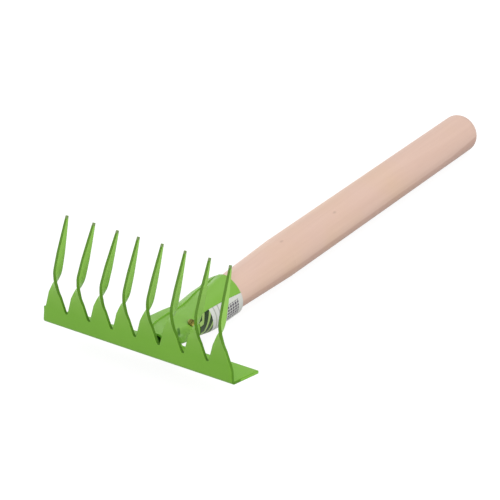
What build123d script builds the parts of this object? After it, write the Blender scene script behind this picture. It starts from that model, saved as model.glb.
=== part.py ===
"""Hand rake: a folded sheet-steel head with twisted teeth, a flattened tube socket and a wooden handle.

Millimetres and degrees. The handle's axis is Y, pointing from the head to the free end. The teeth point
up, towards +Z, and the origin is on the axis at the middle of the grip.
"""

import os
from math import atan2, cos, degrees, radians, sin, sqrt

from build123d import *

# Handle: one turned stick of birch
grip_diameter = 29.6
grip_length = 227.0
neck_length = 58.0  # cone between the grip and the socket's rim
end_length = 9.0  # rounded free end
end_flat_diameter = 9.0
tenon_clearance = 0.1  # all round, inside the socket
tenon_wedge_length = 34.0  # part of the tenon that is shaved to follow the flattened tube

# Socket: a tube rolled from sheet, its front end pressed flat
tube_diameter = 28.2
tube_wall = 1.4
tube_length = 21.0  # round part, back from the rim
mouth_width = 21.0  # open front end
mouth_height = 8.4
mouth_gap = 14.5  # from the plate's front face to the mouth
lap_width = 34.0  # widest, just behind the flange
lap_height = 10.2
lap_fullness = 0.9  # how square its lower corners are, from 0.55 for a round to 1
lap_overhang = 2.0  # flattened part behind the flange
lap_clearance = 0.1  # over the flange
width_easing = 1.6  # behind the lap the width settles before the height does
height_easing = 1.4
seam_gap = 0.7
seam_rise = 0.9  # the edge on the -X side stands higher
seam_lap_shift = 3.8  # seam's distance from the middle plane, towards -X, at the lap
seam_rim_shift = 6.2  # and at the rim

# Head: one strip of sheet, folded and cut into teeth
sheet = 2.0
tooth_count = 8
tooth_pitch = 20.0
tooth_shift = 0.7  # the row of teeth lies this far towards -X on the handle
end_shoulder = 1.3  # strip left beside the first tooth
shoulder_height = 11.8
flange_depth = 26.0
fold_angle = 92.0  # between the plate and the flange
fold_radius = 0.5  # inside the fold
gullet_height = 8.1  # where the sides of two teeth would meet
gullet_radius = 1.15
base_height = 25.7  # where the slanting sides of a tooth end and its blade begins
twist_height = 21.0  # where a tooth begins to turn and to lean
twist_length = 19.0
lean_length = 9.4
tooth_reach = 48.5  # from the end of the base to the tip
point_length = 24.5  # the last part of the blade, which tapers to the tip
base_top_width = 7.5
base_top_shift = 1.0  # the base's top lies off the middle of its pitch, towards -X
base_bulge = 0.3  # how far the base's rounded side stands out from a straight line
blade_width = 5.4
blade_taper_width = 4.9  # where the point begins
tip_width = 0.7
tooth_leans = (16.6, 21.8, 22.9, 20.1, 20.3, 18.8, 18.5, 13.3)  # back from the plate, set one by one

# Head on the handle
head_tilt = 9.1  # plate's lean from square with the handle
head_rise = 2.9  # from the handle's axis up to the head's folded corner
head_reach = 91.5  # along the axis from that corner to the socket's rim

# Fixings and label
weld_radius = 2.6
weld_margin = 1.0  # the beads stop short of the mouth and of the flange's edge
weld_tuck = 0.1  # how far a bead lies under the lap's side, as a share of the lap's half height
screw_shank_diameter = 3.5
screw_head_diameter = 6.0
screw_head_height = 1.8
screw_slot_width = 1.1
screw_slot_depth = 1.0
screw_reach = 0.25  # length under the head, as a share of the tube's diameter
screw_point_length = 4.0
screw_setback = 30.0  # along the axis, in front of the round part of the tube
screw_turn = 60.0  # up from level, on the +X side
screw_clearance = 0.15  # round the shank, in the socket's wall
screw_seat_clearance = 0.2  # under the flat of the head
label_paper = 0.3
label_glue = 0.15  # between the paper and the socket
label_length = 40.0
label_rim_margin = 1.5
label_front_turn = 54.0  # its upper edge, from the top of the tube towards +X, at the front end
label_rim_turn = 68.0  # and at the rim
label_end_turn = 248.0  # its lower edge, on the far side

os.makedirs("parts", exist_ok=True)

grip_radius = grip_diameter / 2
tube_radius = tube_diameter / 2
rim_y = -grip_length / 2 - neck_length
round_y = rim_y - tube_length
tenon_radius = tube_radius - tube_wall - tenon_clearance
screw_length = screw_reach * tube_diameter
head_corner = Vector(0, rim_y - head_reach, head_rise)


def tilted_plane(origin, tilt):
    """Level plane through origin whose Y falls by tilt."""
    return Plane(origin, x_dir=(1, 0, 0), z_dir=(0, sin(radians(tilt)), cos(radians(tilt))))


def facing_plane(origin, tilt):
    """Upright plane that looks towards the head, square to a direction that falls by tilt."""
    return Plane(origin, x_dir=(1, 0, 0), z_dir=(0, -cos(radians(tilt)), sin(radians(tilt))))


plate_plane = tilted_plane(head_corner, head_tilt)
flange_tilt = head_tilt + fold_angle - 90
flange_plane = tilted_plane(head_corner, flange_tilt)


# Rake head: plate, fold and flange as one bent strip, then the flat bases and the twisted blades
gullet_places = [tooth_pitch * (i - tooth_count / 2) - tooth_shift for i in range(tooth_count + 1)]
tooth_centres = [place + tooth_pitch / 2 for place in gullet_places[:-1]]
strip_left = gullet_places[0] - end_shoulder
strip_right = gullet_places[-1]
blade_steps = 18


def smooth(t):
    """Eased step from 0 to 1."""
    return t * t * (3 - 2 * t)


def base_share(height):
    """Share of the slanting sides that lies below a height, up to 1 at their end."""
    return min((height - gullet_height) / (base_height - gullet_height), 1)


def tooth_middle_at(height):
    """Offset of a tooth's middle from the middle of its pitch, before it is turned."""
    return -base_top_shift * base_share(height)


def tooth_width_at(height):
    """Width of a tooth at a height above the fold, before it is turned and leaned."""
    along = height - base_height
    shank_length = (tooth_reach - point_length) / 2
    if along <= 0:
        return tooth_pitch + (base_top_width - tooth_pitch) * base_share(height)
    if along <= shank_length:
        return base_top_width + (blade_width - base_top_width) * smooth(along / shank_length)
    if along <= 2 * shank_length:
        return blade_width + (blade_taper_width - blade_width) * (along - shank_length) / shank_length
    return blade_taper_width + (tip_width - blade_taper_width) * (along - 2 * shank_length) / point_length


fold_opening = radians(fold_angle - 90)
mid_fold = sheet / 2 * (1 - sin(fold_opening)) / cos(fold_opening)
with BuildPart() as rake_head:
    side_plane = Plane(plate_plane.from_local_coords((strip_left, 0, 0)), plate_plane.y_dir, (1, 0, 0))
    with BuildSketch(side_plane):
        with BuildLine():
            FilletPolyline(
                (sheet / 2, gullet_height),
                (sheet / 2, mid_fold),
                (
                    flange_depth * cos(fold_opening) + sheet / 2 * sin(fold_opening),
                    sheet / 2 * cos(fold_opening) - flange_depth * sin(fold_opening),
                ),
                radius=fold_radius + sheet / 2,
            )
        trace(line_width=sheet)
    extrude(amount=strip_right - strip_left)

    front_plane = Plane(head_corner, (1, 0, 0), -plate_plane.y_dir)
    with BuildSketch(front_plane):
        for centre in tooth_centres:
            left_foot = Vector(centre - tooth_pitch / 2, gullet_height)
            right_foot = Vector(centre + tooth_pitch / 2, gullet_height)
            top_middle = centre + tooth_middle_at(twist_height)
            top_half = tooth_width_at(twist_height) / 2
            left_top = Vector(top_middle - top_half, twist_height)
            right_top = Vector(top_middle + top_half, twist_height)
            side = left_top - left_foot
            bulge = (left_foot + left_top) / 2 + Vector(-side.Y, side.X).normalized() * base_bulge
            with BuildLine():
                ThreePointArc(left_foot, bulge, left_top)
                Polyline(left_top, right_top, right_foot, left_foot)
            make_face()
        with Locations((strip_left, gullet_height)):
            Rectangle(tooth_pitch / 4, shoulder_height - gullet_height, align=(Align.MIN, Align.MIN))
    extrude(amount=-sheet)

    gullet_points = [(place, gullet_height, -sheet / 2) for place in gullet_places[1:-1]]
    gullets = [front_plane.from_local_coords(point) for point in gullet_points]
    across = rake_head.edges().filter_by(Axis((0, 0, 0), plate_plane.y_dir))
    fillet([across.sort_by_distance(gullet)[0] for gullet in gullets], gullet_radius)

    blade_step = (base_height + tooth_reach - twist_height) / blade_steps
    for number, centre in enumerate(tooth_centres):
        lean = radians(tooth_leans[number % len(tooth_leans)])
        axis_point = Vector(centre, sheet / 2, twist_height)
        for i in range(blade_steps + 1):
            rise = blade_step * i
            turn = radians(90) * smooth(min(rise / twist_length, 1))
            tilt = lean * smooth(min(rise / lean_length, 1))
            level = Vector(0, sin(tilt), cos(tilt))
            across_blade = Vector(cos(turn), -sin(turn) * level.Z, sin(turn) * level.Y)
            middle = axis_point + Vector(tooth_middle_at(twist_height + rise), 0, 0)
            local = Plane(middle, across_blade, level)
            with BuildSketch(Plane(plate_plane.location * local.location)):
                Rectangle(tooth_width_at(twist_height + rise), sheet)
            next_tilt = lean * smooth(min((rise + blade_step / 2) / lean_length, 1))
            axis_point += Vector(0, sin(next_tilt), cos(next_tilt)) * blade_step
        loft()

rake_head.part.label = "rake_head"
export_step(rake_head.part, "parts/rake_head.step")


# Socket: the form inside its skin is shared by the tube, the tenon that fills it and the label on it
lap_length = flange_depth + lap_overhang - mouth_gap
lap_seat = sheet + lap_clearance
lap_tail = flange_plane.from_local_coords((0, flange_depth + lap_overhang, lap_seat + lap_height / 2))
lap_plane = tilted_plane(lap_tail, flange_tilt)
lap_steps = 3
press_length = round_y - lap_tail.Y
press_steps = 9
tube_steps = 4
round_fullness = 0.5523  # of a curve that follows a quarter circle


def lap_section(u):
    """Plane, half sizes and fullness of the flattened part, u from 0 at the mouth to 1 at its tail."""
    half_width = (mouth_width + (lap_width - mouth_width) * smooth(u)) / 2
    half_height = (mouth_height + (lap_height - mouth_height) * smooth(u)) / 2
    middle = flange_plane.from_local_coords((0, mouth_gap + lap_length * u, lap_seat + half_height))
    return facing_plane(middle, flange_tilt), half_width, half_height, lap_fullness


def pressed_section(t):
    """Plane, half sizes and fullness of the pressed part, t from 0 at the lap to 1 at the round end."""
    half_width = lap_width / 2 + (tube_radius - lap_width / 2) * smooth(min(width_easing * t, 1))
    half_height = lap_height / 2 + (tube_radius - lap_height / 2) * smooth(t ** height_easing)
    middle = (0, lap_tail.Y + press_length * t, lap_tail.Z * (1 - t) ** 2)
    fullness = lap_fullness + (round_fullness - lap_fullness) * smooth(t)
    return facing_plane(middle, flange_tilt * (1 - t)), half_width, half_height, fullness


def section_outline(half_width, half_height, fullness, seam_x, inset):
    """Closed outline of a section, moved in by inset, with the step between its two edges at the seam."""
    side_x = half_width - half_height
    near_radius = half_height - inset
    far_lift = seam_rise / 2
    far_radius = near_radius + far_lift

    def near_top(x):
        return sqrt(near_radius ** 2 - max(abs(x) - side_x, 0) ** 2)

    def far_top(x):
        return far_lift + sqrt(far_radius ** 2 - max(abs(x) - side_x, 0) ** 2)

    near_x = seam_x + 2 * tube_wall
    if side_x > 0:
        near_x = max(near_x, side_x)
    far_x = min(seam_x - 2 * tube_wall, -side_x)
    floor_x = max(side_x, tube_wall / 4)
    near_floor = Vector(floor_x, -near_top(floor_x))
    far_floor = Vector(-floor_x, 2 * far_lift - far_top(floor_x))
    near_side = Vector(side_x + near_radius, 0)
    far_side = Vector(-side_x - far_radius, far_lift)
    near_turn = degrees(atan2(near_top(near_x), near_x - side_x))
    far_turn = degrees(atan2(far_top(far_x) - far_lift, -side_x - far_x))

    def lower_corner(side, floor):
        reach = side - floor
        side_pull = side - Vector(0, reach.Y) * fullness
        floor_pull = floor + Vector(reach.X, 0) * fullness
        Bezier(side, side_pull, floor_pull, floor)

    Line((seam_x, near_top(seam_x)), (near_x, near_top(near_x)))
    CenterArc((side_x, 0), near_radius, 0, near_turn)
    lower_corner(near_side, near_floor)
    Line(near_floor, far_floor)
    lower_corner(far_side, far_floor)
    CenterArc((-side_x, far_lift), far_radius, 180 - far_turn, far_turn)
    Line((far_x, far_top(far_x)), (seam_x, far_top(seam_x)))
    Line((seam_x, far_top(seam_x)), (seam_x, near_top(seam_x)))


def socket_form(inset):
    """Solid inside the socket's skin, moved in by inset: lap, pressed part and round tube."""
    with BuildPart() as form:
        sections = [lap_section(i / lap_steps) for i in range(lap_steps)]
        sections += [pressed_section(i / press_steps) for i in range(press_steps + 1)]
        for plane, half_width, half_height, fullness in sections:
            with BuildSketch(plane):
                with BuildLine():
                    section_outline(half_width, half_height, fullness, -seam_lap_shift, inset)
                make_face()
        loft()
        for i in range(tube_steps + 1):
            seam_x = -seam_lap_shift - (seam_rim_shift - seam_lap_shift) * i / tube_steps
            with BuildSketch(facing_plane((0, round_y + tube_length * i / tube_steps, 0), 0)):
                with BuildLine():
                    section_outline(tube_radius, tube_radius, round_fullness, seam_x, inset)
                make_face()
        loft()
    return form.part


def skin_point(t, turn):
    """Point on the near side of the pressed part, turn degrees up from level."""
    plane, half_width, half_height, fullness = pressed_section(t)
    across = half_width - half_height + half_height * cos(radians(turn))
    return plane.from_local_coords((across, half_height * sin(radians(turn)), 0))


screw_t = 1 - screw_setback / press_length
screw_seat = skin_point(screw_t, screw_turn)
screw_along = skin_point(screw_t + 0.01, screw_turn) - skin_point(screw_t - 0.01, screw_turn)
screw_round = skin_point(screw_t, screw_turn + 1) - skin_point(screw_t, screw_turn - 1)
screw_out = screw_along.cross(screw_round).normalized()
screw_plane = Plane(screw_seat + screw_out * screw_seat_clearance, x_dir=screw_along, z_dir=screw_out)

skin = socket_form(0)
bore = socket_form(tube_wall)
with BuildPart() as socket:
    add(skin)
    add(bore, mode=Mode.SUBTRACT)
    seam_bend = (round_y - lap_tail.Y) / cos(radians(flange_tilt))
    seam_end = (rim_y - lap_tail.Y) / cos(radians(flange_tilt))
    seam_run = (seam_rim_shift - seam_lap_shift) / (seam_end - seam_bend)
    with BuildSketch(lap_plane):
        with BuildLine():
            Polyline(
                (-seam_lap_shift, -lap_length - tube_wall),
                (-seam_lap_shift, seam_bend),
                (-seam_rim_shift - seam_run * tube_radius, seam_end + tube_radius),
            )
        trace(line_width=seam_gap)
    extrude(amount=2 * tube_diameter, mode=Mode.SUBTRACT)
    with BuildSketch(screw_plane):
        Circle(screw_shank_diameter / 2 + screw_clearance)
    extrude(amount=2 * tube_wall, both=True, mode=Mode.SUBTRACT)

socket.part.label = "socket"
export_step(socket.part, "parts/socket.step")


# Welds: a bead on each side of the lap, on the flange
weld_ends = (weld_margin, flange_depth - mouth_gap - weld_margin)
with BuildPart() as socket_welds:
    for hand in (1, -1):
        for reach in weld_ends:
            plane, half_width, half_height, fullness = lap_section(reach / lap_length)
            weld_side = half_width - weld_tuck * half_height
            middle = flange_plane.from_local_coords((hand * weld_side, mouth_gap + reach, sheet))
            with BuildSketch(Plane(middle, (1, 0, 0), plane.z_dir)):
                Circle(weld_radius)
                with Locations((hand * weld_radius / 2, weld_radius / 2)):
                    Rectangle(2 * weld_radius, weld_radius, mode=Mode.INTERSECT)
        loft(ruled=True)
    add(skin, mode=Mode.SUBTRACT)

socket_welds.part.label = "socket_welds"
export_step(socket_welds.part, "parts/socket_welds.step")


# Handle: turned along its axis, with the front of the tenon shaved to the form inside the socket
with BuildPart() as wedge:
    with BuildSketch(facing_plane((0, round_y, 0), 0)):
        Circle(tenon_radius)
    extrude(amount=tenon_wedge_length)
    add(socket_form(tube_wall + tenon_clearance), mode=Mode.INTERSECT)

with BuildPart() as handle:
    with BuildSketch(Plane.YZ):
        with BuildLine():
            grip_end = grip_length / 2
            Polyline(
                (grip_end + end_length, end_flat_diameter / 2),
                (grip_end + end_length, 0),
                (round_y, 0),
                (round_y, tenon_radius),
                (rim_y, tenon_radius),
                (-grip_end, grip_radius),
                (grip_end, grip_radius),
            )
            EllipticalCenterArc(
                (grip_end, end_flat_diameter / 2),
                end_length,
                grip_radius - end_flat_diameter / 2,
                start_angle=0,
                arc_size=90,
            )
        make_face()
    revolve(axis=Axis.Y)
    add(wedge.part)
    with BuildSketch(screw_plane):
        Circle(screw_shank_diameter / 2)
    extrude(amount=-screw_length, mode=Mode.SUBTRACT)

handle.part.label = "handle"
export_step(handle.part, "parts/handle.step")


# Screw: a slotted round head over a plain shank with a point
with BuildPart() as handle_screw:
    with BuildSketch(Plane(screw_plane.origin, x_dir=screw_plane.x_dir, z_dir=-screw_plane.y_dir)):
        with BuildLine():
            Polyline(
                (0, screw_head_height),
                (0, -screw_length),
                (screw_shank_diameter / 2, -screw_length + screw_point_length),
                (screw_shank_diameter / 2, 0),
                (screw_head_diameter / 2, 0),
                (screw_head_diameter / 2, screw_head_height / 4),
            )
            EllipticalCenterArc(
                (0, screw_head_height / 4),
                screw_head_diameter / 2,
                screw_head_height * 3 / 4,
                start_angle=0,
                arc_size=90,
            )
        make_face()
    revolve(axis=Axis(screw_plane.origin, screw_plane.z_dir))
    with BuildSketch(screw_plane.offset(screw_head_height)):
        Rectangle(2 * screw_head_diameter, screw_slot_width)
    extrude(amount=-screw_slot_depth, mode=Mode.SUBTRACT)

handle_screw.part.label = "handle_screw"
export_step(handle_screw.part, "parts/handle_screw.step")


# Label: a sheet of paper glued round the lower side of the socket
label_back = rim_y - label_rim_margin
sector_steps = 4
with BuildPart() as label:
    add(socket_form(-label_glue - label_paper))
    add(socket_form(-label_glue), mode=Mode.SUBTRACT)
    for back, first_turn in ((label_length, label_front_turn), (0, label_rim_turn)):
        with BuildSketch(facing_plane((0, label_back - back, 0), 0)):
            with BuildLine():
                sector = [(0, 0)]
                for i in range(sector_steps + 1):
                    turn = radians(first_turn + (label_end_turn - first_turn) * i / sector_steps)
                    sector.append((2 * tube_diameter * sin(turn), 2 * tube_diameter * cos(turn)))
                Polyline(sector, close=True)
            make_face()
    loft(ruled=True, mode=Mode.INTERSECT)

label.part.label = "label"
export_step(label.part, "parts/label.step")
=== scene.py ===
from math import cos, radians, sin, tan

import bpy
from mathutils import Matrix, Vector


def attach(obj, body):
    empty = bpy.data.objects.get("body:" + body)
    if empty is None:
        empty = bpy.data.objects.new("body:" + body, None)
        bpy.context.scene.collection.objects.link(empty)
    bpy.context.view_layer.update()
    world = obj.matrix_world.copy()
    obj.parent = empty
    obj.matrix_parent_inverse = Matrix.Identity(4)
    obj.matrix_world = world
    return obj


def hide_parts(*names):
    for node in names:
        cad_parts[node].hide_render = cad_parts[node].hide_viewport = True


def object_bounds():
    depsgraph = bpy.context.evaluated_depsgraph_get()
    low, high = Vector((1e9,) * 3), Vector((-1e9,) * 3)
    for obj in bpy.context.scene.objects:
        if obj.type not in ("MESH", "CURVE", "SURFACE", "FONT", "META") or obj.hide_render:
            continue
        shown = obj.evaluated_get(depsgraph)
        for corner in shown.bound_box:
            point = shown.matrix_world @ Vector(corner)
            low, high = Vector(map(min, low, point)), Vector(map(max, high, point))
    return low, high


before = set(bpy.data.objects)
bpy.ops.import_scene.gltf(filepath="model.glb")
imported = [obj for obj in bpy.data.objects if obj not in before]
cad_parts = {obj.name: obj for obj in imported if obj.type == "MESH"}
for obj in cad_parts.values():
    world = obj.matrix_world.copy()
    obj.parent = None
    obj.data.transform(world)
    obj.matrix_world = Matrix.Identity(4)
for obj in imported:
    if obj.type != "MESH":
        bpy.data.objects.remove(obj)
cad_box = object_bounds()

# Camera: the photograph's view of the rake on its back, from the front right and above, through a long lens
camera_place = (0.7635, -1.0101, 0.6240)
camera_azimuth = 41.35
camera_elevation = 27.58
camera_roll = -6.36
camera_lens = 139.1
camera_sensor = 36.0
camera_data = bpy.data.cameras.new("camera")
camera_data.lens = camera_lens
camera_data.sensor_width = camera_sensor
camera = bpy.data.objects.new("camera", camera_data)
bpy.context.scene.collection.objects.link(camera)
camera_turn = Matrix.Rotation(radians(camera_azimuth), 4, "Z")
camera_turn = camera_turn @ Matrix.Rotation(radians(90 - camera_elevation), 4, "X")
camera_turn = camera_turn @ Matrix.Rotation(radians(camera_roll), 4, "Z")
camera.matrix_world = Matrix.Translation(camera_place) @ camera_turn
bpy.context.scene.camera = camera

# Floor and light: a white table among white walls, under four wide soft lamps
floor_size = 12.0
floor_gap = 0.0004
floor_grey = (0.20, 0.20, 0.20, 1.0)
floor_roughness = 0.9
floor_glow = 0.90
wall_light = 0.57
white = (1.0, 1.0, 1.0, 1.0)
lamp_target = Vector((0.0, -0.12, 0.0))


def new_finish(name):
    """A new material, with its node tree and its surface."""
    material = bpy.data.materials.new(name)
    material.use_nodes = True
    return material, material.node_tree, material.node_tree.nodes["Principled BSDF"]


def finish_math(tree, operation, first, second=0.0):
    """One sum in a finish on two values, of which the second may be a number."""
    step = tree.nodes.new("ShaderNodeMath")
    step.operation = operation
    tree.links.new(first, step.inputs[0])
    if isinstance(second, float):
        step.inputs[1].default_value = second
    else:
        tree.links.new(second, step.inputs[1])
    return step.outputs["Value"]


bpy.ops.object.select_all(action="DESELECT")
bpy.ops.mesh.primitive_plane_add(size=floor_size, location=(0.0, 0.0, cad_box[0][2] - floor_gap))
floor = bpy.context.object
floor.name = "floor"
floor_paper, tree, surface = new_finish("floor_paper")
surface.inputs["Base Color"].default_value = floor_grey
surface.inputs["Roughness"].default_value = floor_roughness
surface.inputs["Specular IOR Level"].default_value = 0.0
surface.inputs["Emission Color"].default_value = white
floor_rays = tree.nodes.new("ShaderNodeLightPath").outputs
floor_seen = finish_math(tree, "ADD", floor_rays["Is Camera Ray"], floor_rays["Is Glossy Ray"])
tree.links.new(finish_math(tree, "MULTIPLY", floor_seen, floor_glow), surface.inputs["Emission Strength"])
floor.data.materials.append(floor_paper)

world = bpy.data.worlds.new("studio_walls")
bpy.context.scene.world = world
world.use_nodes = True
studio_walls = world.node_tree.nodes["Background"]
studio_walls.inputs["Color"].default_value = white
studio_walls.inputs["Strength"].default_value = wall_light

for lamp_name, lamp_place, lamp_size, lamp_power in (
    ("right_lamp", (1.5, -0.3, 0.35), 1.0, 15.0),
    ("overhead_lamp", (0.3, 0.5, 1.4), 1.2, 4.6),
    ("left_lamp", (-1.5, 0.4, 0.8), 1.2, 12.0),
    ("front_lamp", (-0.7, -1.4, 0.5), 0.8, 6.4),
):
    lamp_data = bpy.data.lights.new(lamp_name, "AREA")
    lamp_data.size = lamp_size
    lamp_data.energy = lamp_power
    lamp = bpy.data.objects.new(lamp_name, lamp_data)
    bpy.context.scene.collection.objects.link(lamp)
    lamp.location = lamp_place
    lamp.rotation_euler = (lamp_target - Vector(lamp_place)).to_track_quat("-Z", "Y").to_euler()

# Rake head: one strip of 2 mm sheet steel with eight teeth. It is punched flat, each tooth is turned a
# quarter about its own axis and leaned back, and the lower edge is folded back as a flange under the socket.
# It is powder painted grass green and greyish at the tips. The cut edges carry painted shade, a darker
# green, and the paint turns paler higher up as a painted sheen.
sheet = 0.002
tooth_count = 8
tooth_pitch = 0.020
tooth_shift = 0.0007
gullet_height = 0.0086
gullet_radius = 0.00115
gullet_steps = 5
notch_half_angle = radians(19.5)
base_height = 0.0257
base_top_width = 0.0075
base_top_shift = 0.0010
base_shares = (0.207, 0.24, 0.36, 0.48, 0.60, 0.73)
tooth_reach = 0.0485
point_length = 0.0245
shank_length = (tooth_reach - point_length) / 2
blade_rows = 28
blade_top = base_height + tooth_reach
blade_width = 0.0054
blade_taper_width = 0.0049
tip_width = 0.0011
tip_reaches = (0.0110, 0.0060, 0.0030)
tip_thinning = 0.95
tip_wear = 0.0027
twist_start = 0.0210
twist_end = 0.0400
lean_end = 0.0304
lean_bends = 6
tooth_leans = (16.6, 21.8, 22.9, 20.1, 20.3, 18.8, 18.5, 13.3)
tooth_spreads = (1.28, 1.27, 1.22, 1.12, 1.07, 1.0, 1.0, 1.0)
tooth_stretches = (1.018, 1.012, 1.0, 1.0, 1.0, 1.0, 1.0, 1.0)
spread_heights = (0.0295, 0.0320, 0.0345)
end_shoulder = 0.0013
shoulder_height = 0.0118
shoulder_slant = 0.0007
end_curve = 0.0040
fold_angle = 92.0
fold_radius = 0.0015
fold_steps = 6
fold_slack = 0.0001
flange_depth = 0.0260
flange_steps = 4
flange_droop = 3.2
droop_starts = (-0.022, -0.029, -0.036, -0.043)
droop_gap = 0.0005
head_corner = Vector((0.0, -0.2630, 0.0029))
head_tilt = 9.1
tooth_columns = 6
side_column = tooth_pitch * 0.375
row_slack = 0.00002
merge_gap = 0.00002
edge_width = 0.00017
edge_segments = 2
edge_corner = radians(50)
smooth_corner = radians(40)


def ease(share):
    """A share from 0 to 1 that starts and ends gently."""
    return share * share * (3 - 2 * share)


def tooth_middle(number):
    """Where along the head a tooth's piece of the strip has its middle."""
    return tooth_pitch * (number + 0.5 - tooth_count / 2) - tooth_shift


def select_where(piece, wanted):
    """Leaves only the piece's vertices that answer wanted selected, in edit mode."""
    bpy.context.view_layer.objects.active = piece
    bpy.ops.object.mode_set(mode="EDIT")
    bpy.ops.mesh.select_mode(type="VERT")
    bpy.ops.mesh.select_all(action="DESELECT")
    bpy.ops.object.mode_set(mode="OBJECT")
    for vertex in piece.data.vertices:
        vertex.select = wanted(vertex.co)
    bpy.ops.object.mode_set(mode="EDIT")


def join_as(pieces, name):
    """Joins pieces into the first of them, gives it a name and leaves it active."""
    bpy.ops.object.select_all(action="DESELECT")
    for piece in pieces:
        piece.select_set(True)
    bpy.context.view_layer.objects.active = pieces[0]
    bpy.ops.object.join()
    pieces[0].name = name
    return pieces[0]


# The outline of the flat tooth, as the left and right side at each row's height
side_left = (tooth_pitch - base_top_width) / 2 - base_top_shift
side_right = (tooth_pitch - base_top_width) / 2 + base_top_shift
side_height = base_height - gullet_height
gullet_middle = gullet_height + gullet_radius / sin(notch_half_angle)
fold_top = sheet / 2 + fold_radius * tan(radians((180 - fold_angle) / 2))
rows = [(fold_top, -tooth_pitch / 2, tooth_pitch / 2)]
rows.append((gullet_height, -tooth_pitch / 2, tooth_pitch / 2))
for i in range(gullet_steps):
    round_turn = (radians(90) - notch_half_angle) * i / (gullet_steps - 1)
    round_height = gullet_middle - gullet_radius * cos(round_turn)
    round_side = tooth_pitch / 2 - gullet_radius * sin(round_turn)
    rows.append((round_height, -round_side, round_side))
for base_share in base_shares:
    base_row = gullet_height + side_height * base_share
    base_left = -tooth_pitch / 2 + side_left * base_share
    base_right = tooth_pitch / 2 - side_right * base_share
    rows.append((base_row, base_left, base_right))
for i in range(1, blade_rows + 1):
    height = twist_start + (blade_top - twist_start) * i / blade_rows
    along = height - base_height
    if along < 0:
        base_share = (height - gullet_height) / side_height
        width = tooth_pitch + (base_top_width - tooth_pitch) * base_share
    elif along < shank_length:
        width = base_top_width + (blade_width - base_top_width) * ease(along / shank_length)
    elif along < 2 * shank_length:
        width = blade_width + (blade_taper_width - blade_width) * (along / shank_length - 1)
    else:
        point_share = (along - 2 * shank_length) / point_length
        width = blade_taper_width + (tip_width - blade_taper_width) * point_share
    rows.append((height, -base_top_shift - width / 2, -base_top_shift + width / 2))

# One tooth with its share of the strip, raised row by row and turned about its axis as it rises
bpy.ops.object.select_all(action="DESELECT")
bpy.ops.mesh.primitive_grid_add(
    x_subdivisions=tooth_columns, y_subdivisions=1, size=tooth_pitch, rotation=(radians(90), 0.0, 0.0)
)
bpy.ops.object.transform_apply(location=True, rotation=True, scale=True)
tooth = bpy.context.object
bpy.ops.object.mode_set(mode="EDIT")
bpy.ops.mesh.select_all(action="SELECT")
strip_height = rows[1][0] - rows[0][0]
bpy.ops.transform.resize(value=(1.0, 1.0, strip_height / tooth_pitch), center_override=(0.0, 0.0, 0.0))
bpy.ops.transform.translate(value=(0.0, sheet / 2, rows[0][0] + strip_height / 2))
select_where(tooth, lambda place: place.z > rows[1][0] - strip_height / 2)
turned = 0.0
for (height_below, left_below, right_below), (height, left, right) in zip(rows[1:], rows[2:]):
    middle = (left + right) / 2
    rise = (middle - (left_below + right_below) / 2, 0.0, height - height_below)
    bpy.ops.mesh.extrude_region_move(TRANSFORM_OT_translate={"value": rise})
    spread = (right - left) / (right_below - left_below)
    row_centre = (middle, sheet / 2, height)
    bpy.ops.transform.resize(value=(spread, spread, 1.0), center_override=row_centre)
    twist_share = min(max((height - twist_start) / (twist_end - twist_start), 0.0), 1.0)
    turn = radians(90) * ease(twist_share)
    bpy.ops.transform.rotate(value=turn - turned, orient_axis="Z", center_override=row_centre)
    turned = turn
bpy.ops.object.mode_set(mode="OBJECT")

# Eight of them side by side, each leaned back by its own angle in small bends
bend_heights = []
for bend in range(lean_bends):
    bend_heights.append(lean_end - (lean_end - twist_start) * (bend + 0.5) / lean_bends)
teeth = []
for number in range(tooth_count):
    bpy.ops.object.select_all(action="DESELECT")
    tooth.select_set(True)
    bpy.context.view_layer.objects.active = tooth
    bpy.ops.object.duplicate()
    copy = bpy.context.object
    if number == 0:
        select_where(copy, lambda place: place.x < -side_column and place.z < shoulder_height + row_slack)
        shoulder_line = (-tooth_pitch / 2 - end_shoulder, 0.0, 0.0)
        bpy.ops.transform.resize(value=(0.0, 1.0, 1.0), center_override=shoulder_line)
        select_where(
            copy,
            lambda place: place.x < -side_column
            and fold_top + row_slack < place.z < shoulder_height + row_slack,
        )
        bpy.ops.transform.translate(value=(shoulder_slant, 0.0, 0.0))
    if number == tooth_count - 1:
        for height, left, right in rows:
            if height < gullet_height + end_curve:
                curve_share = max(height - gullet_height + end_curve, 0.0) / (2 * end_curve)
                end_x = tooth_pitch / 2 - side_right / side_height * end_curve * curve_share ** 2
                select_where(
                    copy, lambda place: place.x > side_column and abs(place.z - height) < row_slack
                )
                bpy.ops.transform.translate(value=(end_x - right, 0.0, 0.0))
    for spread_height in spread_heights:
        select_where(copy, lambda place: place.z > spread_height)
        spread = tooth_spreads[number] ** (1 / len(spread_heights))
        bpy.ops.transform.resize(value=(1.0, spread, 1.0), center_override=(0.0, sheet / 2, 0.0))
    select_where(copy, lambda place: place.z > lean_end)
    bpy.ops.transform.resize(value=(1.0, 1.0, tooth_stretches[number]), center_override=(0.0, 0.0, lean_end))
    for bend_height in bend_heights:
        select_where(copy, lambda place: place.z > bend_height)
        bpy.ops.transform.rotate(
            value=radians(tooth_leans[number] / lean_bends),
            orient_axis="X",
            center_override=(0.0, sheet / 2, bend_height),
        )
    bpy.ops.mesh.select_all(action="SELECT")
    bpy.ops.transform.translate(value=(tooth_middle(number), 0.0, 0.0))
    bpy.ops.object.mode_set(mode="OBJECT")
    teeth.append(copy)
bpy.data.objects.remove(tooth)
rake_head = join_as(teeth, "rake_head_steel")
bpy.ops.object.mode_set(mode="EDIT")
bpy.ops.mesh.select_all(action="SELECT")
bpy.ops.mesh.remove_doubles(threshold=merge_gap)

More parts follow.
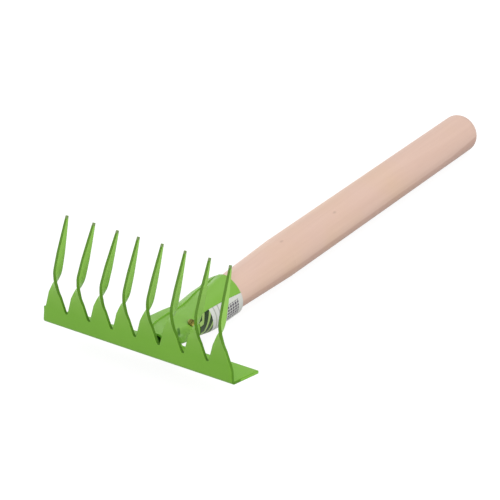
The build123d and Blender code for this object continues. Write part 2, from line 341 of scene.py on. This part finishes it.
# The fold and the flange along the lower edge
select_where(rake_head, lambda place: place.z < fold_top + fold_slack)
bpy.ops.mesh.spin(
    steps=fold_steps,
    angle=radians(180 - fold_angle),
    center=(0.0, sheet / 2 + fold_radius, fold_top),
    axis=(-1.0, 0.0, 0.0),
)
flange_stride = (flange_depth - fold_top) / flange_steps
flange_fall = radians(fold_angle - 90)
for i in range(flange_steps):
    flange_step = (0.0, cos(flange_fall) * flange_stride, -sin(flange_fall) * flange_stride)
    bpy.ops.mesh.extrude_region_move(TRANSFORM_OT_translate={"value": flange_step})
# To the left of the socket the flange hangs a little lower
droop_line = sheet / 2 + fold_radius + droop_gap
for droop_start in droop_starts:
    select_where(
        rake_head, lambda place: place.x < droop_start and place.y > droop_line and place.z < sheet
    )
    bpy.ops.transform.rotate(
        value=radians(flange_droop / len(droop_starts)),
        orient_axis="X",
        center_override=(0.0, droop_line, sheet / 2),
    )
bpy.ops.mesh.select_all(action="SELECT")
bpy.ops.mesh.remove_doubles(threshold=merge_gap)
bpy.ops.mesh.normals_make_consistent(inside=False)
bpy.ops.transform.rotate(value=radians(head_tilt), orient_axis="X", center_override=(0.0, 0.0, 0.0))
bpy.ops.transform.translate(value=head_corner)
bpy.ops.object.mode_set(mode="OBJECT")
bpy.ops.object.transform_apply(location=True, rotation=True, scale=True)

# Paint of the head: its faces, its cut edges and its tips differ in their greens and their gloss. The darker
# green of the cut edges is painted shade, and the paler green higher up is a painted sheen.
paint_drift = 28.0
paint_drift_detail = 4.0
paint_deep_at = 0.3
paint_bright_at = 0.7
paint_dimples = 1500.0
paint_dimple_detail = 2.0
paint_relief = 0.12
paint_relief_depth = 0.0001
paint_roughness = 0.42
# Painted sheen: between these two heights each paint turns to its third and paler green
painted_sheen_from = 0.015
painted_sheen_to = 0.045
face_greens = ((0.193, 0.470, 0.036), (0.211, 0.498, 0.042), (0.300, 0.580, 0.100))
# Painted shade on the cut edges: their greens are darker and duller than the faces'
edge_shade_greens = ((0.085, 0.240, 0.010), (0.105, 0.275, 0.014), (0.115, 0.275, 0.020))
tip_greens = ((0.195, 0.290, 0.095), (0.215, 0.315, 0.110), (0.225, 0.315, 0.118))
face_gloss = 0.3
edge_gloss = 0.15
face_slot = 0
edge_slot = 1
tip_slot = 2


def finish_place(tree):
    """Where a point of the piece lies, for a finish."""
    return tree.nodes.new("ShaderNodeTexCoord").outputs["Object"]


def finish_parts(tree, place):
    """A place in a finish, split in its X, Y and Z."""
    split = tree.nodes.new("ShaderNodeSeparateXYZ")
    tree.links.new(place, split.inputs["Vector"])
    return split.outputs


def finish_noise(tree, place, scale, detail):
    """Soft uneven patches in a finish: a larger scale makes them smaller."""
    noise = tree.nodes.new("ShaderNodeTexNoise")
    noise.inputs["Scale"].default_value = scale
    noise.inputs["Detail"].default_value = detail
    tree.links.new(place, noise.inputs["Vector"])
    return noise.outputs["Fac"]


def finish_shades(tree, value, low, low_colour, high, high_colour):
    """Colours of a finish, from one where value is low to another where it is high."""
    shades = tree.nodes.new("ShaderNodeValToRGB")
    shades.color_ramp.elements[0].position = low
    shades.color_ramp.elements[0].color = (*low_colour, 1.0)
    shades.color_ramp.elements[1].position = high
    shades.color_ramp.elements[1].color = (*high_colour, 1.0)
    tree.links.new(value, shades.inputs["Fac"])
    return shades.outputs["Color"]


def finish_share(tree, value, none_at, full_at, none=0.0, full=1.0):
    """A share in a finish that goes evenly from none to full as value goes from none_at to full_at."""
    share = tree.nodes.new("ShaderNodeMapRange")
    share.inputs["From Min"].default_value = none_at
    share.inputs["From Max"].default_value = full_at
    share.inputs["To Min"].default_value = none
    share.inputs["To Max"].default_value = full
    tree.links.new(value, share.inputs["Value"])
    return share.outputs["Result"]


def finish_layer(tree, below, colour, share, way="MIX"):
    """A colour laid over the one below it in a finish, as far as share says."""
    layer = tree.nodes.new("ShaderNodeMix")
    layer.data_type = "RGBA"
    layer.blend_type = way
    tree.links.new(below, layer.inputs["A"])
    if isinstance(colour, tuple):
        layer.inputs["B"].default_value = (*colour, 1.0)
    else:
        tree.links.new(colour, layer.inputs["B"])
    if isinstance(share, float):
        layer.inputs["Factor"].default_value = share
    else:
        tree.links.new(share, layer.inputs["Factor"])
    return layer.outputs["Result"]


def finish_relief(tree, surface, height, strength, depth):
    """Fine bumps on a finish that are too small for the mesh."""
    relief = tree.nodes.new("ShaderNodeBump")
    relief.inputs["Strength"].default_value = strength
    relief.inputs["Distance"].default_value = depth
    tree.links.new(height, relief.inputs["Height"])
    tree.links.new(relief.outputs["Normal"], surface.inputs["Normal"])


def powder_paint(name, deep, bright, pale, gloss):
    """Green powder paint: slow drifts between two greens, turning to a paler green higher up as a painted
    sheen, finely dimpled.
    """
    material, tree, surface = new_finish(name)
    place = finish_place(tree)
    drift = finish_noise(tree, place, paint_drift, paint_drift_detail)
    green = finish_shades(tree, drift, paint_deep_at, deep, paint_bright_at, bright)
    painted_sheen_share = finish_share(tree, finish_parts(tree, place)["Z"], painted_sheen_from, painted_sheen_to)
    tree.links.new(finish_layer(tree, green, pale, painted_sheen_share), surface.inputs["Base Color"])
    dimples = finish_noise(tree, place, paint_dimples, paint_dimple_detail)
    finish_relief(tree, surface, dimples, paint_relief, paint_relief_depth)
    surface.inputs["Roughness"].default_value = paint_roughness
    surface.inputs["Specular IOR Level"].default_value = gloss
    return material


def coat(piece, *materials):
    """Gives a piece its materials, in the order of its slots."""
    piece.data.materials.clear()
    for material in materials:
        piece.data.materials.append(material)


green_paint = powder_paint("green_paint", *face_greens, face_gloss)
edge_shade_paint = powder_paint("edge_shade_paint", *edge_shade_greens, edge_gloss)
tip_paint = powder_paint("tip_paint", *tip_greens, face_gloss)
coat(rake_head, green_paint, edge_shade_paint, tip_paint)

# Sheet thickness, with painted shade on the cut edges
sheet_wall = rake_head.modifiers.new("sheet_wall", "SOLIDIFY")
sheet_wall.thickness = sheet
sheet_wall.offset = 0.0
sheet_wall.use_even_offset = True
sheet_wall.use_quality_normals = True
sheet_wall.material_offset_rim = edge_slot
bpy.ops.object.modifier_apply(modifier="sheet_wall")
# Points: the sheet is thinner at the tips, where it was sheared, and the paint there is worn
for number in range(tooth_count):
    tip = Vector((0.0, sheet / 2, lean_end + (blade_top - lean_end) * tooth_stretches[number]))
    bend_turn = Matrix.Rotation(-radians(tooth_leans[number] / lean_bends), 3, "X")
    for bend_height in bend_heights:
        bend_place = Vector((0.0, sheet / 2, bend_height))
        tip = bend_place + bend_turn @ (tip - bend_place)
    tip.x = tooth_middle(number) - base_top_shift
    tip = head_corner + Matrix.Rotation(-radians(head_tilt), 3, "X") @ tip
    for tip_reach in tip_reaches:
        select_where(rake_head, lambda place: (place - tip).length < tip_reach)
        bpy.ops.transform.resize(value=(tip_thinning, 1.0, 1.0), center_override=tip)
    select_where(rake_head, lambda place: (place - tip).length < tip_wear)
    rake_head.active_material_index = tip_slot
    bpy.ops.object.material_slot_assign()
    bpy.ops.object.mode_set(mode="OBJECT")
# The flange's cut ends are left without the painted edge shade, so they take the faces' green
flange_zone = head_corner + Vector((0.0, 2 * sheet, 2 * sheet))
select_where(rake_head, lambda place: place.y > flange_zone.y and place.z < flange_zone.z)
rake_head.active_material_index = face_slot
bpy.ops.object.material_slot_assign()
bpy.ops.object.mode_set(mode="OBJECT")
# All cut edges a little rounded
edge_round = rake_head.modifiers.new("edge_round", "BEVEL")
edge_round.width = edge_width
edge_round.material = edge_slot
edge_round.segments = edge_segments
edge_round.limit_method = "ANGLE"
edge_round.angle_limit = edge_corner
bpy.ops.object.modifier_apply(modifier="edge_round")
bpy.ops.object.shade_smooth_by_angle(angle=smooth_corner)
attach(rake_head, "root")
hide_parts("rake_head")

# Socket: a tube rolled from thin sheet, pressed flat at the front and left open along its seam. Its flat end
# lies on the flange, and it is painted with the head. Pressing has left it a little fuller along the seam.
node_merge_gap = 0.000002
seam_near_x = -0.00345
seam_run = -0.110
seam_bend = -0.1891
seam_edge_reach = 0.0003
seam_closing = 0.0006
# Each bulge: its place, its move, the part that moves whole, how far it draws the rest along, and whether it
# draws along only what is joined to it, on its own side of the seam
seam_bulges = (
    (Vector((-0.0040, -0.2280, 0.0090)), (-0.0012, 0.0, 0.0010), 0.005, 0.014, False),
    (Vector((-0.0040, -0.2190, 0.0110)), (-0.0012, 0.0, 0.0004), 0.005, 0.012, False),
    (Vector((-0.0062, -0.1720, 0.0130)), (0.0012, 0.0, 0.0004), 0.004, 0.016, False),
    (Vector((-0.0025, -0.1720, 0.0140)), (0.0, 0.0, 0.0011), 0.0025, 0.010, True),
    (Vector((-0.0026, -0.1810, 0.0138)), (0.0, 0.0, 0.0007), 0.0025, 0.008, True),
    (Vector((-0.0105, -0.1780, 0.0094)), (-0.0008, 0.0, 0.0011), 0.0025, 0.008, True),
)
# The tube's greens are the head's made a little darker and duller, as painted shade
tube_shaded_greens = ((0.195, 0.440, 0.044), (0.214, 0.466, 0.051), (0.300, 0.560, 0.105))
tube_gloss = 0.4
# Painted shade on both sides of the socket's flat end: its green, where it starts across and along, and its
# blotches
painted_shade_green = (0.66, 0.70, 0.58)
painted_shade_sides = (0.0125, 0.0155)
painted_shade_fronts = (-0.2235, -0.2280)
blotch_scale = 420.0
blotch_detail = 2.0
blotch_values = (0.40, 0.60)
blotch_least = 0.65
# Painted shade of a pinched fold at the right front corner: its green and the borders of its line
crease_shade_green = (0.27, 0.42, 0.0)
crease_shade_across = (-0.624, -0.739, 0.235)
crease_shade_right = (0.16680, 0.16705)
crease_shade_left = (0.16950, 0.16800)
crease_shade_foot = (0.0066, 0.0074)
crease_shade_inner = (0.0112, 0.0124)


def copy_node(node, name):
    """A copy of a CAD node with its triangles merged, left in edit mode under a name of its own."""
    bpy.ops.object.select_all(action="DESELECT")
    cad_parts[node].select_set(True)
    bpy.context.view_layer.objects.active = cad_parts[node]
    bpy.ops.object.duplicate()
    copy = bpy.context.object
    copy.name = name
    bpy.ops.object.mode_set(mode="EDIT")
    bpy.ops.mesh.select_all(action="SELECT")
    bpy.ops.mesh.remove_doubles(threshold=node_merge_gap)
    return copy


def smooth_copy():
    """Leaves edit mode and shades the active copy anew, because it has moved."""
    bpy.ops.object.mode_set(mode="OBJECT")
    bpy.ops.mesh.customdata_custom_splitnormals_clear()
    bpy.ops.object.shade_smooth_by_angle(angle=smooth_corner)


def finish_vector(tree, operation, first, second):
    """One sum in a finish on a place and three numbers."""
    step = tree.nodes.new("ShaderNodeVectorMath")
    step.operation = operation
    step.inputs[1].default_value = second
    tree.links.new(first, step.inputs[0])
    return step.outputs


socket_tube = copy_node("socket", "socket_tube")
# The near edge of the seam is drawn up to the far one
select_where(
    socket_tube,
    lambda place: place.z > 0
    and abs(place.x - seam_near_x - seam_run * max(place.y - seam_bend, 0.0)) < seam_edge_reach,
)
bpy.ops.transform.translate(value=(-seam_closing, 0.0, 0.0))
for bulge_place, bulge_move, bulge_core, bulge_reach, one_sided in seam_bulges:
    select_where(socket_tube, lambda place: (place - bulge_place).length < bulge_core)
    bpy.ops.transform.translate(
        value=bulge_move,
        use_proportional_edit=True,
        use_proportional_connected=one_sided,
        proportional_edit_falloff="SMOOTH",
        proportional_size=bulge_reach,
    )
smooth_copy()
tube_paint = powder_paint("tube_paint", *tube_shaded_greens, tube_gloss)
tree = tube_paint.node_tree
surface = tree.nodes["Principled BSDF"]
place = finish_place(tree)
parts = finish_parts(tree, place)
# Painted shade: on both sides of the flat end, near its front, the paint is darker and blotchy
painted_shade_out = finish_share(tree, finish_math(tree, "ABSOLUTE", parts["X"]), *painted_shade_sides)
painted_shade_front = finish_share(tree, parts["Y"], *painted_shade_fronts)
blotches = finish_noise(tree, place, blotch_scale, blotch_detail)
blotch_share = finish_share(tree, blotches, *blotch_values, blotch_least)
painted_shade_share = finish_math(tree, "MULTIPLY", finish_math(tree, "MULTIPLY", painted_shade_out, painted_shade_front), blotch_share)
colour = surface.inputs["Base Color"].links[0].from_socket
colour = finish_layer(tree, colour, painted_shade_green, painted_shade_share, "MULTIPLY")
# Painted shade of a crease: a short dark line at the right front corner, where the press has pinched the
# tube and a fold would lie in shade
crease_shade_side = finish_vector(tree, "DOT_PRODUCT", place, crease_shade_across)["Value"]
crease_shade_share = finish_share(tree, crease_shade_side, *crease_shade_right)
for crease_shade_value, crease_shade_border in (
    (crease_shade_side, crease_shade_left),
    (parts["Z"], crease_shade_foot),
    (parts["X"], crease_shade_inner),
):
    crease_shade_part = finish_share(tree, crease_shade_value, *crease_shade_border)
    crease_shade_share = finish_math(tree, "MULTIPLY", crease_shade_share, crease_shade_part)
colour = finish_layer(tree, colour, crease_shade_green, crease_shade_share, "MULTIPLY")
tree.links.new(colour, surface.inputs["Base Color"])
coat(socket_tube, tube_paint)
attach(socket_tube, "root")
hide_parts("socket")

# Welds: one fillet bead on each side of the socket's flat end, where it lies on the flange. Each is a row of
# overlapping ripples under the paint.
mouth_gap = 0.0145
mouth_width = 0.0210
lap_width = 0.0340
lap_overhang = 0.0020
weld_margin = 0.0010
ripple_count = 8
ripple_segments = 16
ripple_rings = 10
ripple_size = (0.0017, 0.0011, 0.0019)
ripple_lean = 25.0
weld_grain = 0.00018
weld_corner = radians(60)
cutter_size = 0.060
flange_turn = Matrix.Rotation(-radians(head_tilt + fold_angle - 90), 4, "X")
weld_start = mouth_gap + weld_margin
weld_end = flange_depth - weld_margin
lap_length = flange_depth + lap_overhang - mouth_gap
ripples = []
for hand in (1, -1):
    for i in range(ripple_count):
        weld_back = weld_start + (weld_end - weld_start) * i / (ripple_count - 1)
        lap_share = ease((weld_back - mouth_gap) / lap_length)
        lap_side = (mouth_width + (lap_width - mouth_width) * lap_share) / 2
        ripple_place = head_corner + flange_turn @ Vector((hand * lap_side, weld_back, sheet))
        bpy.ops.object.select_all(action="DESELECT")
        bpy.ops.mesh.primitive_uv_sphere_add(
            segments=ripple_segments, ring_count=ripple_rings, radius=1.0, location=ripple_place
        )
        ripple = bpy.context.object
        ripple.scale = ripple_size
        ripple.rotation_euler = (radians(ripple_lean), 0.0, radians(-hand * ripple_lean))
        ripples.append(ripple)
weld_beads = join_as(ripples, "weld_beads")
bpy.ops.object.transform_apply(location=True, rotation=True, scale=True)
weld_beads.data.remesh_voxel_size = weld_grain
bpy.ops.object.voxel_remesh()
# Only what stands above the flange's top face is kept
cutter_middle = Vector((0.0, (weld_start + weld_end) / 2, sheet + cutter_size / 2))
bpy.ops.object.select_all(action="DESELECT")
bpy.ops.mesh.primitive_cube_add(size=cutter_size, location=head_corner + flange_turn @ cutter_middle)
cutter = bpy.context.object
cutter.rotation_euler = flange_turn.to_euler()
bpy.ops.object.select_all(action="DESELECT")
weld_beads.select_set(True)
bpy.context.view_layer.objects.active = weld_beads
weld_cut = weld_beads.modifiers.new("weld_cut", "BOOLEAN")
weld_cut.operation = "INTERSECT"
weld_cut.solver = "EXACT"
weld_cut.object = cutter
bpy.ops.object.modifier_apply(modifier="weld_cut")
bpy.data.objects.remove(cutter)
bpy.ops.object.shade_smooth_by_angle(angle=weld_corner)
coat(weld_beads, green_paint)
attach(weld_beads, "root")
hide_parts("socket_welds")

# Handle: one turned stick of pale birch, sanded and left bare, with its tenon driven into the socket. The
# grain runs along it, and a few small dark flecks are left from the tree.
grip_end = 0.1135
birch_roughness = 0.5
birch_gloss = 0.45
grain_stretch = (130.0, 5.0, 130.0)
grain_scale = 1.6
grain_detail = 5.0
grain_roughness = 0.6
grain_waver = 0.4
grain_values = (0.28, 0.72)
grain_browns = ((0.682, 0.478, 0.384), (0.728, 0.524, 0.426))
grain_relief = 0.15
grain_relief_depth = 0.0002
cloud_scale = 22.0
cloud_detail = 2.0
cloud_values = (0.35, 0.65)
cloud_tints = ((1.0, 0.985, 0.925), (1.0, 0.985, 1.0))
pink_reach = (0.020, 0.085)
pink_most = 0.25
pith_shift = (0.022, 0.0, 0.015)
pith_stretch = (1.0, 0.0, 1.0)
ring_scale = 150.0
ring_waver = 1.5
ring_browns = ((0.610, 0.420, 0.335), (0.700, 0.500, 0.410))
end_reach = (grip_end + 0.002, grip_end + 0.007)
# Painted shade along the handle's lower right side: how it rises at the free end, its borders, its waver and
# its brown
shade_band_rise_reach = (0.080, 0.115)
shade_band_rise_most = -0.20
shade_band_top_turns = (-0.10, -0.20)
shade_band_foot_turns = (-1.55, -1.25)
shade_band_waver = 0.10
shade_band_brown = (0.865, 0.805, 0.785)
fleck_places = (
    (0.0039, -0.1135, 0.0143),
    (0.0082, -0.0580, 0.0123),
    (-0.0090, 0.0300, 0.0118),
    (0.0030, 0.0650, -0.0145),
)
fleck_stretch = Vector((1.0, 0.55, 1.0))
fleck_edge = 0.0013
fleck_core = 0.0003
fleck_depth = 0.28
fleck_brown = (0.260, 0.150, 0.100)


def finish_mapping(tree, place, shift, stretch):
    """A place in a finish, stretched and then shifted."""
    mapping = tree.nodes.new("ShaderNodeMapping")
    mapping.inputs["Location"].default_value = shift
    mapping.inputs["Scale"].default_value = stretch
    tree.links.new(place, mapping.inputs["Vector"])
    return mapping.outputs["Vector"]


birch, tree, surface = new_finish("birch")
place = finish_place(tree)
parts = finish_parts(tree, place)
grain_place = finish_mapping(tree, place, (0.0, 0.0, 0.0), grain_stretch)
streaks = finish_noise(tree, grain_place, grain_scale, grain_detail)
streaks.node.inputs["Roughness"].default_value = grain_roughness
streaks.node.inputs["Distortion"].default_value = grain_waver
colour = finish_shades(tree, streaks, grain_values[0], grain_browns[0], grain_values[1], grain_browns[1])
# Clouds: slow changes between pinker and yellower wood, pinker towards the free end
clouds = finish_noise(tree, place, cloud_scale, cloud_detail)
pink_share = finish_share(tree, parts["Y"], *pink_reach, 0.0, pink_most)
pink_clouds = finish_math(tree, "ADD", clouds, pink_share)
tint = finish_shades(tree, pink_clouds, cloud_values[0], cloud_tints[0], cloud_values[1], cloud_tints[1])
colour = finish_layer(tree, colour, tint, 1.0, "MULTIPLY")
# End grain: year rings round a pith off the middle, on the rounded end only
rings = tree.nodes.new("ShaderNodeTexWave")
rings.wave_type = "RINGS"
rings.rings_direction = "SPHERICAL"
rings.inputs["Scale"].default_value = ring_scale
rings.inputs["Distortion"].default_value = ring_waver
tree.links.new(finish_mapping(tree, place, pith_shift, pith_stretch), rings.inputs["Vector"])
ring_shades = finish_shades(tree, rings.outputs["Fac"], 0.0, ring_browns[0], 1.0, ring_browns[1])
colour = finish_layer(tree, colour, ring_shades, finish_share(tree, parts["Y"], *end_reach))
# Painted shade: a darker band along the lower right side of the handle, which faces down, its borders
# wavering with the clouds. It rises a little at the free end.
shade_band_turn = finish_math(tree, "ARCTAN2", parts["Z"], parts["X"])
shade_band_rise = finish_share(tree, parts["Y"], *shade_band_rise_reach, 0.0, shade_band_rise_most)
shade_band_turn = finish_math(tree, "ADD", shade_band_turn, shade_band_rise)
shade_band_turn = finish_math(tree, "ADD", finish_math(tree, "MULTIPLY", clouds, shade_band_waver), shade_band_turn)
shade_band_top = finish_share(tree, shade_band_turn, *shade_band_top_turns)
shade_band_foot = finish_share(tree, shade_band_turn, *shade_band_foot_turns)
shade_band_share = finish_math(tree, "MULTIPLY", shade_band_top, shade_band_foot)
colour = finish_layer(tree, colour, shade_band_brown, shade_band_share, "MULTIPLY")
# Flecks: small dark spots, longer along the grain
fleck_space = finish_vector(tree, "MULTIPLY", place, fleck_stretch)["Vector"]
for fleck_place in fleck_places:
    fleck_middle = Vector(fleck_place) * fleck_stretch
    fleck_distance = finish_vector(tree, "DISTANCE", fleck_space, fleck_middle)["Value"]
    fleck_share = finish_share(tree, fleck_distance, fleck_edge, fleck_core, 0.0, fleck_depth)
    colour = finish_layer(tree, colour, fleck_brown, fleck_share)
tree.links.new(colour, surface.inputs["Base Color"])
finish_relief(tree, surface, streaks, grain_relief, grain_relief_depth)
surface.inputs["Roughness"].default_value = birch_roughness
surface.inputs["Specular IOR Level"].default_value = birch_gloss
coat(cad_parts["handle"], birch)

# Screw: one slotted round-headed wood screw of zinc-plated steel, a little dull, coloured a dark olive brown
# in uneven patches. It is driven through the side of the socket into the tenon.
zinc_patches_scale = 700.0
zinc_patches_detail = 3.0
zinc_patches_values = (0.35, 0.65)
zinc_patches_browns = ((0.130, 0.115, 0.018), (0.270, 0.250, 0.048))
screw_metal = 0.8
screw_roughness = 0.45
zinc_steel, tree, surface = new_finish("zinc_steel")
zinc_patches = finish_noise(tree, finish_place(tree), zinc_patches_scale, zinc_patches_detail)
colour = finish_shades(
    tree, zinc_patches, zinc_patches_values[0], zinc_patches_browns[0], zinc_patches_values[1], zinc_patches_browns[1]
)
tree.links.new(colour, surface.inputs["Base Color"])
surface.inputs["Metallic"].default_value = screw_metal
surface.inputs["Roughness"].default_value = screw_roughness
coat(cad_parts["handle_screw"], zinc_steel)

# Label: a sheet of slightly glossy paper glued round the lower side of the socket. Its print is generic: a
# panel of dark and light green stripes at the front, two faint grey lines and a field of grey dots.
label_front = -0.2130
label_length = 0.0400
label_edge = 0.0002
label_rim_reach = 0.0013
label_front_spread = (1.031, 1.0, 0.900)
label_front_middle = 0.0011
label_front_move = (0.0, -0.0035, 0.0004)
label_draw = 0.012
paper_roughness = 0.45
paper_gloss = 0.25
fibre_scale = 900.0
fibre_detail = 3.0
paper_greys = ((0.600, 0.620, 0.570), (0.700, 0.710, 0.670))
panel_middle = 0.07
panel_half = 0.175
panel_green = (0.020, 0.045, 0.012)
stripe_slope = 3.0
stripe_repeat = 1.9
stripe_half = 0.17
stripe_green = (0.300, 0.460, 0.130)
line_places = (0.34, 0.44)
line_half = 0.012
line_grey = (0.420, 0.440, 0.380)
dot_repeat_along = 16.0
dot_repeat_around = 6.5
dot_half = 0.39
field_middle_along = 0.76
field_half_along = 0.16
field_middle_around = 1.75
field_half_around = 0.42
dot_grey = (0.130, 0.118, 0.140)


def print_band(tree, value, middle, half_width):
    """Label print: 1 where value is within half_width of middle, else 0."""
    band = tree.nodes.new("ShaderNodeMath")
    band.operation = "COMPARE"
    band.inputs[1].default_value = middle
    band.inputs[2].default_value = half_width
    tree.links.new(value, band.inputs[0])
    return band.outputs["Value"]


def print_repeat(tree, value, repeat, half_width):
    """Label print: bands at even steps of value, as many in each unit of it as repeat says."""
    step = finish_math(tree, "FRACT", finish_math(tree, "MULTIPLY", value, repeat))
    return print_band(tree, step, 0.5, half_width)


label_paper, tree, surface = new_finish("label_paper")
place = finish_place(tree)
parts = finish_parts(tree, place)
along = finish_share(tree, parts["Y"], label_front, label_front + label_length)
around = finish_math(tree, "ARCTAN2", parts["X"], parts["Z"])
fibres = finish_noise(tree, place, fibre_scale, fibre_detail)
colour = finish_shades(tree, fibres, 0.0, paper_greys[0], 1.0, paper_greys[1])
# Front panel: dark green, crossed by slanting light green stripes
panel = print_band(tree, along, panel_middle, panel_half)
colour = finish_layer(tree, colour, panel_green, panel)
slant = finish_math(tree, "ADD", finish_math(tree, "MULTIPLY", along, stripe_slope), around)
stripes = finish_math(tree, "MULTIPLY", panel, print_repeat(tree, slant, stripe_repeat, stripe_half))
colour = finish_layer(tree, colour, stripe_green, stripes)
# Two faint lines beside the panel
for line_place in line_places:
    colour = finish_layer(tree, colour, line_grey, print_band(tree, along, line_place, line_half))
# Field of grey dots towards the rim
dots_along = print_repeat(tree, along, dot_repeat_along, dot_half)
dots_around = print_repeat(tree, around, dot_repeat_around, dot_half)
field_along = print_band(tree, along, field_middle_along, field_half_along)
field_around = print_band(tree, around, field_middle_around, field_half_around)
dots = finish_math(tree, "MULTIPLY", dots_along, dots_around)
field = finish_math(tree, "MULTIPLY", field_along, field_around)
colour = finish_layer(tree, colour, dot_grey, finish_math(tree, "MULTIPLY", dots, field))
tree.links.new(colour, surface.inputs["Base Color"])
surface.inputs["Roughness"].default_value = paper_roughness
surface.inputs["Specular IOR Level"].default_value = paper_gloss
# The sheet is drawn out to the rim, and forward over the start of the pressed part
label_sheet = copy_node("label", "label_sheet")
select_where(label_sheet, lambda place: place.y > label_front + label_length - label_edge)
bpy.ops.transform.translate(value=(0.0, label_rim_reach, 0.0))
select_where(label_sheet, lambda place: place.y < label_front + label_edge)
bpy.ops.transform.resize(
    value=label_front_spread,
    center_override=(0.0, label_front, label_front_middle),
    use_proportional_edit=True,
    proportional_edit_falloff="SMOOTH",
    proportional_size=label_draw,
)
bpy.ops.transform.translate(
    value=label_front_move,
    use_proportional_edit=True,
    proportional_edit_falloff="SMOOTH",
    proportional_size=label_draw,
)
smooth_copy()
coat(label_sheet, label_paper)
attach(label_sheet, "root")
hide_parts("label")

bpy.context.scene.view_settings.view_transform = "Standard"
